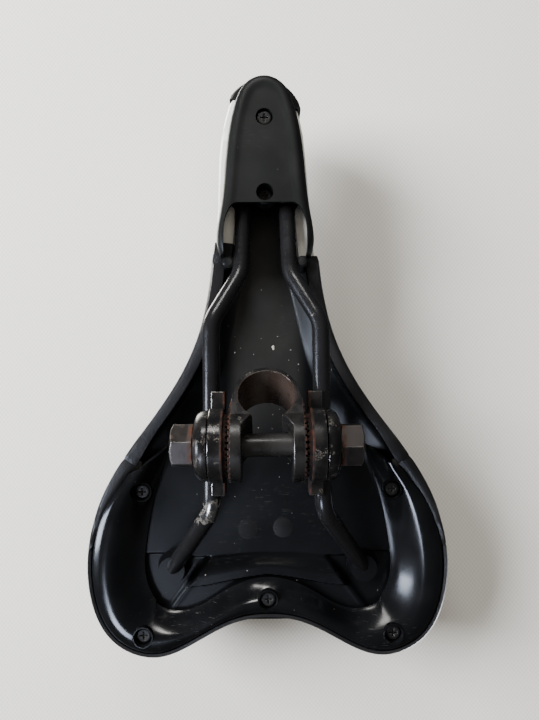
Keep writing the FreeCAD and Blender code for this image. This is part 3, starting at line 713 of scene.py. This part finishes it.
def side_sections(inset, drop, hem):
    """For each column the side's section as rows, with one row exactly on the seam."""
    x, y = (EDGE + INWARD * inset).T
    radius = rounding(y)
    low = rim_height(y)
    if not hem:
        low = np.minimum(PAD_BOTTOM, crown_height(x, y) - drop - radius - 2.2)
    widest, narrowest = HEM_BEHIND[-1]
    behind = np.where(np.abs(x) > 30, between(y, HEM_BEHIND), narrowest)
    hem_width = np.where(y < TRIM_FRONT + 0.1, HEM + 1.6 * smooth_step(8, 24, y), behind) - inset
    hem_width = hem_width + 3.0 * smooth_step(-112, -120, y)
    hem_width = hem_width + 2.6 * smooth_step(-86, -82, y) * (y < PANEL_END[1] + 0.5)
    stations = []
    if hem:
        rise = 1.6 * smooth_step(TRIM_FRONT - 6, TRIM_FRONT + 6, y) * (y < widest)
        for share in (1.0, 0.66, 0.33):
            stations.append((FOLD + (hem_width - FOLD) * share, low + 0.15 * share + rise * share ** 4))
    for turn in np.radians([0, 30, 60, 90]):
        stations.append((FOLD * (1 - np.sin(turn)) + 0 * y, low + FOLD * (1 - np.cos(turn))))
    wall_top = crown_height(x, y) - drop - radius
    for share in (0.25, 0.5, 0.75):
        stations.append((0 * y, low + FOLD + (wall_top - low - FOLD) * share))
    for turn in np.radians(np.linspace(0, 90, 9)):
        depth = radius * (1 - np.cos(turn))
        spot = side_by_side([x, y]) + INWARD * depth[:, None]
        stations.append((depth, crown_height(*spot.T) - drop - radius * (1 - np.sin(turn))))
    depth = np.array([station[0] for station in stations])
    height = np.array([station[1] for station in stations])
    rows = []
    for column in range(len(y)):
        section = side_by_side([depth[:, column], height[:, column]])
        along = lengths(section)
        seam = np.interp(seam_height(y[column]), height[3:, column], along[3:])
        below = np.linspace(0, seam, SEAM_ROW + 1)
        places = np.concatenate([below, np.linspace(seam, along[-1], 11)[1:]])
        moved = side_by_side([np.interp(places, along, section[:, i]) for i in (0, 1)])
        ground = np.array([x[column], y[column]]) + INWARD[column] * moved[:, :1]
        rows.append(side_by_side([ground, moved[:, 1]]))
    return np.swapaxes(np.array(rows), 0, 1)


def crown_rows(start, drop):
    """Rows from the end of the roll to the mid-plane, with the top seam sewn in."""
    centre = side_by_side([np.zeros(len(EDGE)), centre_places()])
    reach = np.linalg.norm(centre - start[:, :2], axis=1)
    seam = TOP_SEAM(start[:, 1]) / reach
    seam = np.minimum(seam, 0.6)
    width = 1.5 / reach
    rows = []
    for share in (0.25, 0.5, 0.75, 1):
        rows.append(((seam - width) * share, 0))
    rows += [(seam - width / 2, -0.35), (seam, -0.85), (seam + width / 2, -0.35)]
    for share in np.linspace(0, 1, 18):
        rows.append((seam + width + (1 - seam - width) * share, 0))
    sewn = smooth_step(-136, -126, start[:, 1]) * (1 - bell(start[:, 0], 16) * (start[:, 1] > NOTCH))
    made = []
    for share, dip in rows:
        dip = dip * sewn
        ground = start[:, :2] + (centre - start[:, :2]) * share[:, None]
        x, y = ground.T
        fading = smooth_step(0, 0.25, share)
        height = crown_height(x, y) - drop + fading * top_relief(x, y) + dip
        made.append(side_by_side([ground, height]))
    return np.array(made)


# How far each skin stands out from the common surface: y and distance.
SKIRT_PROUD = [(-68, 1.3), (-40, 0.7), (-10, 0.05), (24, -0.1)]
PROUD = {
    "nose_bumper": [(-141, 0.2), (-131, 1.2), (-127, 1.5)],
    "side_panel_right": [(-127, -1.1), (-70, -0.6)],
    "side_panel_left": [(-127, 0.3), (-105, 0.9), (-70, -0.2)],
    "side_skirt_right": SKIRT_PROUD,
    "side_skirt_left": SKIRT_PROUD,
    "cover_top": [(0, 0)],
}


def make_cover():
    """The skin is one surface that is shared out to the bumper, the panels, the skirts and the top."""
    sides = side_sections(0, 0, True)
    crown = crown_rows(sides[-1], 0)
    grid = np.concatenate([sides, crown])
    middle = (EDGE[:, 1] + np.roll(EDGE[:, 1], -1)) / 2
    end = np.where(SIDE > 0, PANEL_END[1], PANEL_END[-1])
    nose = middle < np.where(SIDE > 0, NOSE_END[1], NOSE_END[-1])
    light = ~nose & (middle < end)
    skirt = ~nose & ~light & (middle < TRIM_FRONT)

    def low(row):
        return row < SEAM_ROW

    def right(column):
        return SIDE[column] > 0 and column < len(HALF_EDGE) - 1
    shares = {
        "nose_bumper": lambda r, c: nose[c],
        "side_panel_right": lambda r, c: light[c] and low(r) and right(c),
        "side_panel_left": lambda r, c: light[c] and low(r) and not right(c),
        "side_skirt_right": lambda r, c: skirt[c] and low(r) and right(c),
        "side_skirt_left": lambda r, c: skirt[c] and low(r) and not right(c),
        "cover_top": lambda r, c: not nose[c] and not (low(r) and (light[c] or skirt[c])),
    }
    for node, keep in shares.items():
        piece = grid_object(node + "_skin", grid, True, keep)
        clean(piece)
        lean = 0.03 if node == "nose_bumper" else 0
        shift_by_normals(piece, PROUD[node], SKIN_TUCK, lean)
        thicken(piece, SKIN)
        finish_piece(piece, SLOTS[node], [node], 50)
    make_stitches(crown)


def make_stitches(crown):
    """Two lines of stitches beside the seam that runs round the top of the pad."""
    threads = []
    for row in STITCH_ROWS:
        line = np.array([point for point in crown[row] if point[1] > NOSE_END[1] + 3])
        line[:, 2] += 0.12
        half = len(line) // 2
        for run in (line[:half], line[half:]):
            along = lengths(run)
            if along[-1] < 20:
                continue
            for start in np.arange(2, along[-1] - 4, STITCH_PITCH):
                ends = [[np.interp(place, along, run[:, i]) for i in range(3)]
                        for place in (start, start + STITCH_LENGTH)]
                unsewn = 15 if ends[0][1] > NOTCH else 4
                if abs(ends[0][0]) < unsewn or (Vector(ends[0]) - Vector(ends[1])).length > 3:
                    continue
                threads.append(capsule(ends[0], ends[1], 0.3))
    detail("top_stitches", threads, "cover_vinyl", 80, material="thread")


def make_foam():
    """The moulded pad inside the cover."""
    sides = side_sections(PAD_INSET, PAD_DROP, False)
    sides[:, :, 2] = np.maximum(sides[:, :, 2], rim_height(sides[:, :, 1]) + PAD_ABOVE_RIM)
    crown = crown_rows(sides[-1], PAD_DROP)
    under = []
    for share in (0, 0.5, 0.86):
        ground = sides[0][:, :2] * (share, 1)
        ground[:, 1] = share * sides[0][:, 1] + (1 - share) * centre_places()
        under.append(side_by_side([ground, np.full(len(ground), PAD_BOTTOM)]))
    grid = np.concatenate([np.array(under), sides, crown])
    piece = grid_object("foam_core", grid, True)
    clean(piece)
    finish_piece(piece, "foam", ["foam_pad"])


# ---- wing trim
# Half of the lip in plan, the screws as x, y and seat, and the bowl from its outer edge to the lip.
TRIM_LIP = [(42, 18), (44.5, 26), (48.5, 38), (53, 60), (52.5, 80), (44, 90), (33, 90.5), (20, 83), (0, 76)]
TRIM_SCREWS = [(54.5, 39, 28.0), (53, 99, 24.2), (0, 84.5, 24.2)]
TRIM_SECTION = [(0.0, 22.6), (0.05, 21.75), (0.10, 21.1), (0.16, 20.5), (0.24, 20.1), (0.32, 20.0),
                (0.40, 20.3), (0.50, 21.4), (0.62, 23.3), (0.78, 26.2), (0.93, 28.4), (1.0, 29.0)]
TRIM_HEIGHT = natural_spline(*zip(*TRIM_SECTION))
TRIM_OUTER = 1.85
TRIM_COLUMNS = 260


def lip_distance():
    """How far the trim's lip lies from the outline, along each column's inward normal."""
    half = np.array(TRIM_LIP, float)
    path = np.vstack([half, half[-2::-1] * (-1, 1)])
    along = lengths(path)
    fine = np.linspace(0, along[-1], 600)
    path = side_by_side([natural_spline(along, path[:, axis])(fine) for axis in (0, 1)])
    reach = np.full(len(EDGE), np.nan)
    for column, (spot, inward) in enumerate(zip(EDGE, INWARD)):
        offset = path - spot
        ahead = offset @ inward
        aside = np.abs(offset[:, 0] * inward[1] - offset[:, 1] * inward[0])
        near = (aside < 0.8) & (ahead > 5) & (ahead < 40)
        if near.any():
            reach[column] = ahead[near].min()
    known = np.flatnonzero(~np.isnan(reach))
    reach = np.interp(np.arange(len(EDGE)), known, reach[known])
    for _ in range(12):
        reach = (np.roll(reach, 1) + reach * 2 + np.roll(reach, -1)) / 4
    return reach


LIP = lip_distance()


def trim_grid():
    """Rows from the outer edge to the lip; each starts further back the further out it lies."""
    along = lengths(np.vstack([EDGE, EDGE[:1]]))
    total = along[-1]
    front = np.interp(10, HALF_EDGE[:120, 1], along[:120])
    shares = np.concatenate([np.linspace(0, 0.12, 6), np.linspace(0.16, 1, 30)])
    rows = []
    for share in shares:
        start = front + 24.0 * (1 - share)
        places = np.linspace(start, total - start, TRIM_COLUMNS)
        x, y, inward_x, inward_y, reach = [
            np.interp(places, along[:-1], values) for values in (*EDGE.T, *INWARD.T, LIP)]
        ends = np.minimum(places - start, total - start - places)
        outer = TRIM_OUTER + 2.6 * bell(ends, 14)
        depth = outer + (reach - outer) * share
        x = x + inward_x * depth
        y = y + inward_y * depth
        centre = bell(x, 30) * smooth_step(66, 76, y)
        height = TRIM_HEIGHT(share)
        height = height + centre * -0.30 * np.maximum(height - 20.0, 0) * smooth_step(0.3, 0.9, share)
        height = height + 0.8 * bell(ends, 8) * (1 - share)
        rows.append(side_by_side([x, y, height]))
    return np.array(rows)


def trim_surface_height(grid, x, y):
    """Height of the bowl near a place in plan."""
    flat = grid.reshape(-1, 3)
    nearest = np.argsort(np.hypot(flat[:, 0] - x, flat[:, 1] - y))[:4]
    return float(flat[nearest, 2].mean())


def make_trim():
    """Horseshoe moulding: rolled outer edge, concave bowl, sharp lip, and five screw wells."""
    grid = trim_grid()
    piece = grid_object("wing_trim_moulding", grid, False)
    clean(piece, DOWN)
    thicken(piece, TRIM_WALL)
    wells, holes = [], []
    for x, y, seat in TRIM_SCREWS:
        for side in ((1, -1) if x else (1,)):
            level = trim_surface_height(grid, side * x, y)
            rim = min(level - 0.35, seat - 2.6)
            well = [(SCREW_HOLE, seat + 0.9), (4.1, seat + 0.9), (4.5, level + 1.6), (4.6, rim + 0.5),
                    (4.3, rim), (3.9, rim), (3.6, rim + 0.5), (WELL, seat), (SCREW_HOLE, seat),
                    (SCREW_HOLE, seat + 0.9)]
            wells.append(lathe(well, (side * x, y, 0), 48))
            holes.append(lathe([(0.01, -8), (4.2, -8), (4.2, 8), (0.01, 8)], (side * x, y, level), 32))
    cut_away(piece, *joined(holes))
    finish_piece(piece, "trim_plastic", ["wing_trim"], 45)
    detail("trim_screw_wells", wells, "trim_plastic", 45)


# ---- base shell
# Half-width of the flat floor along the saddle, and the height where the flanks meet the flanges.
FLOOR_EDGE = natural_spline(
    [-128, -100, -66, -40, -12, 8, 24, 40, 60, 95],
    [3, 4.5, 7, 13, 20, 31, 42, 49, 56, 60])
FLANK_FOOT = 25.4


def shell_limit(y):
    """Half-width of the shell at the inner side of its flange."""
    ring = (EDGE + INWARD * (HEM + 0.3))[:len(HALF_EDGE)]
    flank = ring[:np.argmax(HALF_EDGE[:, 1] > 84)]
    return np.interp(y, flank[:, 1], flank[:, 0])


def rear_relief(x, y):
    """Behind the floor: a hollow band with a ledge, and a deeper pocket at either corner."""
    aside = np.abs(x)
    edge = 66.8 + 0.0028 * aside ** 2 * smooth_step(48, 20, aside)
    behind = y - edge
    ridge = 26 + 0.75 * (y - 69)
    pocket = smooth_step(-1.6, 1.6, aside - ridge) * smooth_step(-0.6, 0.6, behind)
    band = 3.2 + 0.10 * aside
    ledge = -0.5 * smooth_step(0, 1.2, behind) - 2.7 * smooth_step(1.0, 2.2 + band, behind)
    gap = 3.2 * smooth_step(0, 1.4, behind - 5.4 - band)
    hollow = 1.9 * smooth_step(-0.5, 1.0, behind)
    crest = -1.1 * bell(aside - ridge - 0.6, 1.5) * smooth_step(0.5, 4, behind)
    return (1 - pocket) * (ledge + gap) + pocket * hollow + crest


def make_base():
    """Floor between two sloping flanks, flanges down to the hem, and the hollows at the rear."""
    levels = np.concatenate([np.linspace(-129, 62, 150), np.linspace(62.5, 96, 84)])
    inside = smooth_step(20, 30, levels)
    limit = np.where(levels < 90, shell_limit(levels), shell_limit(90))
    edge = np.minimum(FLOOR_EDGE(levels), limit - 4)
    low = rim_height(levels) + 1.7
    flank = FLANK_FOOT + (30.0 - FLANK_FOOT) * inside
    rows = [(limit, low + (31.0 - low) * inside), (limit - 0.5, low + (flank - low) * 0.5 + 2 * inside),
            (limit - 1.0, flank - 0.8), (limit - 1.9, flank)]
    wide, narrow, near_floor = limit - 1.9, edge + 0.5, FLOOR - 0.15
    for share in np.linspace(0, 1, 9)[1:-1]:
        rows.append((wide + (narrow - wide) * share, flank + (near_floor - flank) * share))
    rows += [(edge + 0.4, near_floor + 0 * edge), (edge, FLOOR + 0 * edge)]
    for share in np.linspace(0, 1, 76)[1:]:
        rows.append((edge * (1 - share), FLOOR + 0 * edge))
    half = np.array([side_by_side([x, levels, z]) for x, z in rows])
    relief = rear_relief(half[:, :, 0], half[:, :, 1])
    half[:, :, 2] += relief * (half[:, :, 2] > 26)
    other = half[-2::-1] * (-1, 1, 1)
    grid = np.concatenate([half, other])
    piece = grid_object("base_shell_moulding", grid, False)
    clean(piece, DOWN)
    thicken(piece, BASE_WALL)
    finish_piece(piece, "base_plastic", ["base_shell"], 32)


# Places in plan; the first flecks as x, y, half-width and half-length, then how many are scattered.
PEG_PLACES = [(-15.6, -58.5), (15.6, -58.5)]
MARK_PLACES = [(-8.6, 56.8), (6.9, 56.2)]
LARGE_FLECKS = [(3.2, -23.6, 0.75, 1.5), (-14, -21.5, 0.3, 0.4),
                (11, -22.5, 0.5, 0.2), (14.5, -16, 0.35, 0.3)]
SMALL_FLECKS = 26
FLECK_STEPS = 9


def make_floor_details():
    """Two pegs beside the undercover's legs, two ejector marks, and flecks of pale paint."""
    peg = [(0.02, 10.5), (1.6, 10.7), (2.5, 11.6), (2.7, 13), (2.9, FLOOR)]
    pegs = [lathe(peg, (x, y, 0), 32) for x, y in PEG_PLACES]
    detail("base_pegs", pegs, "base_plastic", 35)
    disc = [(0.02, FLOOR - 0.12), (4.3, FLOOR - 0.12), (4.5, FLOOR - 0.04), (4.55, FLOOR + 0.3)]
    marks = [lathe(disc, (x, y, 0), 56) for x, y in MARK_PLACES]
    detail("ejector_marks", marks, "base_plastic", 25, DOWN, "ejector")
    flecks = []
    spots = list(LARGE_FLECKS)
    for _ in range(SMALL_FLECKS):
        spots.append((random.uniform(-16, 16), random.uniform(-34, 55), random.uniform(0.12, 0.24), 0.2))
    dome = [(0.02, FLOOR - 0.12), (0.7, FLOOR - 0.10), (1.0, FLOOR + 0.02), (1.0, FLOOR + 0.2)]
    points, faces = lathe(dome, (0, 0, 0), FLECK_STEPS)
    for x, y, wide, long in spots:
        wobble = [random.uniform(0.7, 1.15) for _ in range(FLECK_STEPS)]
        shaped = []
        for i, (px, py, pz) in enumerate(points):
            reach = wobble[i % FLECK_STEPS]
            shaped.append((x + px * wide * reach, y + py * long * reach, pz))
        flecks.append((shaped, faces))
    detail("paint_flecks", flecks, "base_plastic", 40, DOWN, "fleck")


# ---- nose undercover
# Half of the plan outline, the section as depth and height, and the screws as y and seat.
CUP = [(0, -136.8), (8.6, -133), (13.4, -123), (16.6, -104.6),
       (19.1, -80), (19.5, -62), (12, -54), (0, -53)]
CUP_SECTION = [(0, 16), (0.15, 12), (0.5, 9), (1.0, 7.0), (1.9, 5.5), (3.0, 4.8), (4.2, 4.6),
               (5.2, 4.75), (6.2, 5.05), (7.4, 5.15)]
CUP_SCREWS = [(-117.4, 8.4), (-86, 12.6)]


def make_undercover():
    """Boat-shaped cover with a softly raised border, two screw wells, and legs beside its mouth."""
    ring = whole_ring(resample(fine_half(CUP), 130))
    inward = inward_normals(ring)
    rows = []
    for depth, height in CUP_SECTION:
        rows.append(side_by_side([ring + inward * depth, np.full(len(ring), height)]))
    last = rows[-1]
    centre_y = np.clip(last[:, 1], -126, -66)
    for share in (0.3, 0.65, 1.0):
        ground = last[:, :2] * (1 - share, 1)
        ground[:, 1] = last[:, 1] * (1 - share) + centre_y * share
        rows.append(side_by_side([ground, last[:, 2]]))
    piece = grid_object("nose_undercover_moulding", np.array(rows), True)
    clean(piece, DOWN)
    thicken(piece, CUP_WALL)
    mouth = [(-17.2, -40)]
    for side in (-1, 1):
        for turn in np.radians(np.linspace(0, 90, 25)[::-side]):
            mouth.append((side * (11.2 + 6.0 * math.cos(turn)), -69.4 - 12.4 * math.sin(turn)))
    mouth.append((17.2, -40))
    behind = [(-40, -61), (40, -61), (40, -30), (-40, -30)]
    wells, holes = [], []
    for y, seat in CUP_SCREWS:
        well = [(SCREW_HOLE, seat + 1.2), (4.6, seat + 1.2), (4.6, 6.4), (3.6, 5.6), (WELL, seat),
                (SCREW_HOLE, seat), (SCREW_HOLE, seat + 1.2)]
        wells.append(lathe(well, (0, y, 0), 48))
        radius = WELL + 0.05
        holes.append(lathe([(0.01, 0), (radius, 0), (radius, 20), (0.01, 20)], (0, y, 0), 48))
    for cut in (prism(mouth, -10, 40), prism(behind, -10, 40), joined(holes)):
        cut_away(piece, *cut)
    finish_piece(piece, "undercover_plastic", ["nose_undercover"], 35)
    detail("nose_screw_wells", wells, "undercover_plastic", 35)


# ---- CAD pieces that stay
def dress_frame():
    """The rails, the clamp and the fasteners keep their CAD shape and get their finish."""
    special = {"rail_left": "rubbed_rail", "clamp_stud": "stud"}
    for name, item in frame["nodes"].items():
        item.data.materials.clear()
        item.data.materials.append(MATERIALS[special.get(name, SLOTS[name])])


# ---- camera, stage and light
# The camera from the bolt in millimetres, its lens, and its small turns in degrees.
CAMERA_PLACE = (-0.7, -23.5, -216)
LENS = 28.1
NOSE_LEAN = 2.4
SIDE_LEAN = 0.5
TURN = 0.5


def make_camera():
    """Below the saddle, looking up at its underside, the nose at the top of the picture."""
    data = bpy.data.cameras.new("camera")
    data.lens = LENS
    data.sensor_width = 36
    data.clip_start = 0.01
    data.clip_end = 20
    camera = bpy.data.objects.new("camera", data)
    bpy.context.scene.collection.objects.link(camera)
    camera.location = (Vector((0, BOLT.y, BOLT.z)) + Vector(CAMERA_PLACE)) * MM
    nose_lean = math.radians(NOSE_LEAN)
    side_lean = math.radians(SIDE_LEAN)
    forward = Vector((math.sin(side_lean), -math.sin(nose_lean), math.cos(nose_lean))).normalized()
    turn = math.radians(TURN)
    right = Vector((math.cos(turn), math.sin(turn), 0))
    right = (right - forward * right.dot(forward)).normalized()
    up = right.cross(forward)
    camera.matrix_world = Matrix((
        (right.x, up.x, -forward.x, camera.location.x),
        (right.y, up.y, -forward.y, camera.location.y),
        (right.z, up.z, -forward.z, camera.location.z),
        (0, 0, 0, 1)))
    bpy.context.scene.camera = camera


def add_plane(name, height, size, facing):
    mesh = bpy.data.meshes.new(name)
    half = size / 2
    corners = [(-half, -half, 0), (half, -half, 0), (half, half, 0), (-half, half, 0)]
    if facing < 0:
        corners.reverse()
    mesh.from_pydata(corners, [], [(0, 1, 2, 3)])
    plane = bpy.data.objects.new(name, mesh)
    plane.location = (0, 0, height)
    bpy.context.scene.collection.objects.link(plane)
    return plane


# Millimetres between the bumps of the backdrop's weave.
THREAD_PITCH = (("X", 2.0), ("Y", 2.44))


def make_stage():
    """Pale woven backdrop above the saddle, seen only from below, its weave drawn as painted light and shade, and
    a floor far below.
    """
    backdrop = add_plane("stage_backdrop", CAD_BOX[1].z + 8 * MM, 6, -1)
    cloth = Graph("stage_backdrop")
    waves = []
    for axis, pitch in THREAD_PITCH:
        waves.append(cloth.math("SINE", cloth.times(cloth.axis(axis), TAU / (pitch * MM))))
    # Painted light and shade: the raised threads of the weave lighter, the hollows between them darker.
    raised = cloth.times(cloth.plus(cloth.times(*waves), 1.0), 0.5)
    shades = [[part * share for part in (0.83, 0.82, 0.80)] for share in (0.90, 1.06)]
    diffuse = cloth.node("BsdfDiffuse", Color=cloth.mix(raised, *shades))
    mix = cloth.node("MixShader", Fac=cloth.node("NewGeometry").outputs["Backfacing"])
    cloth.links.new(diffuse.outputs[0], mix.inputs[1])
    cloth.links.new(cloth.node("BsdfTransparent").outputs[0], mix.inputs[2])
    cloth.links.new(mix.outputs[0], cloth.surface)
    backdrop.data.materials.append(cloth.material)
    backdrop.visible_glossy = False
    backdrop.visible_shadow = False
    floor = add_plane("stage_floor", -0.75, 8, 1)
    plain = Graph("stage_floor")
    diffuse = plain.node("BsdfDiffuse", Color=(0.78, 0.78, 0.77, 1))
    plain.links.new(diffuse.outputs[0], plain.surface)
    floor.data.materials.append(plain.material)
    floor.visible_glossy = False
    floor.visible_diffuse = False
    floor.visible_shadow = False


def add_area(name, place, target, width, height, power, colour):
    """A rectangular lamp that the camera doesn't see."""
    data = bpy.data.lights.new(name, "AREA")
    data.shape = "RECTANGLE"
    data.size = width
    data.size_y = height
    data.energy = power
    data.color = colour
    light = bpy.data.objects.new(name, data)
    light.location = place
    light.rotation_mode = "QUATERNION"
    light.rotation_quaternion = (Vector(target) - Vector(place)).to_track_quat("-Z", "Y")
    light.visible_camera = False
    bpy.context.scene.collection.objects.link(light)
    return light


def make_lights():
    """Daylight from the left and a warm fill that gloss doesn't show, two cool panes that only
    gloss shows, a weak room lamp, and two lamps above for the top side."""
    world = bpy.data.worlds.new("world")
    bpy.context.scene.world = world
    world.use_nodes = True
    nodes = world.node_tree.nodes
    links = world.node_tree.links
    nodes.clear()
    output = nodes.new("ShaderNodeOutputWorld")
    shades = []
    for colour, strength in (((0.80, 0.84, 0.9, 1), 0.075), ((0.86, 0.86, 0.85, 1), 0.9)):
        shade = nodes.new("ShaderNodeBackground")
        shade.inputs["Color"].default_value = colour
        shade.inputs["Strength"].default_value = strength
        shades.append(shade)
    path = nodes.new("ShaderNodeLightPath")
    mix = nodes.new("ShaderNodeMixShader")
    links.new(path.outputs["Is Camera Ray"], mix.inputs["Fac"])
    links.new(shades[0].outputs[0], mix.inputs[1])
    links.new(shades[1].outputs[0], mix.inputs[2])
    links.new(mix.outputs[0], output.inputs["Surface"])
    centre = (0, 0, 0.02)
    window = add_area("window", (-0.76, 0.10, -0.265), centre, 0.20, 0.32, 6.0, (0.74, 0.83, 1.0))
    pane = add_area("window_pane", (-0.32, 0.42, -0.50), centre, 0.14, 0.22, 2.6, (0.72, 0.80, 1.0))
    for light in (window, pane):
        light.visible_diffuse = False
    add_area("room", (-0.15, -0.75, -0.55), centre, 0.30, 0.14, 3, (1.0, 0.98, 0.94))
    daylight = add_area("daylight", (-0.86, -0.30, -0.64), (0, -0.05, 0.02), 0.62, 0.62, 41, (1, 1, 1))
    bounce = add_area("bounce", (0.1, -0.3, -1.1), (0, -0.1, 0.02), 1.2, 1.2, 6, (1.0, 0.90, 0.74))
    for light in (daylight, bounce):
        light.visible_glossy = False
    add_area("above", (-0.5, -0.6, 0.9), centre, 0.6, 0.6, 15, (1.0, 0.955, 0.89))
    add_area("above_rear", (0.6, 0.7, 0.8), centre, 0.5, 0.5, 9, (0.9, 0.95, 1.0))


make_camera()
make_stage()
make_lights()
dress_frame()
make_cover()
make_foam()
make_trim()
make_base()
make_floor_details()
make_undercover()
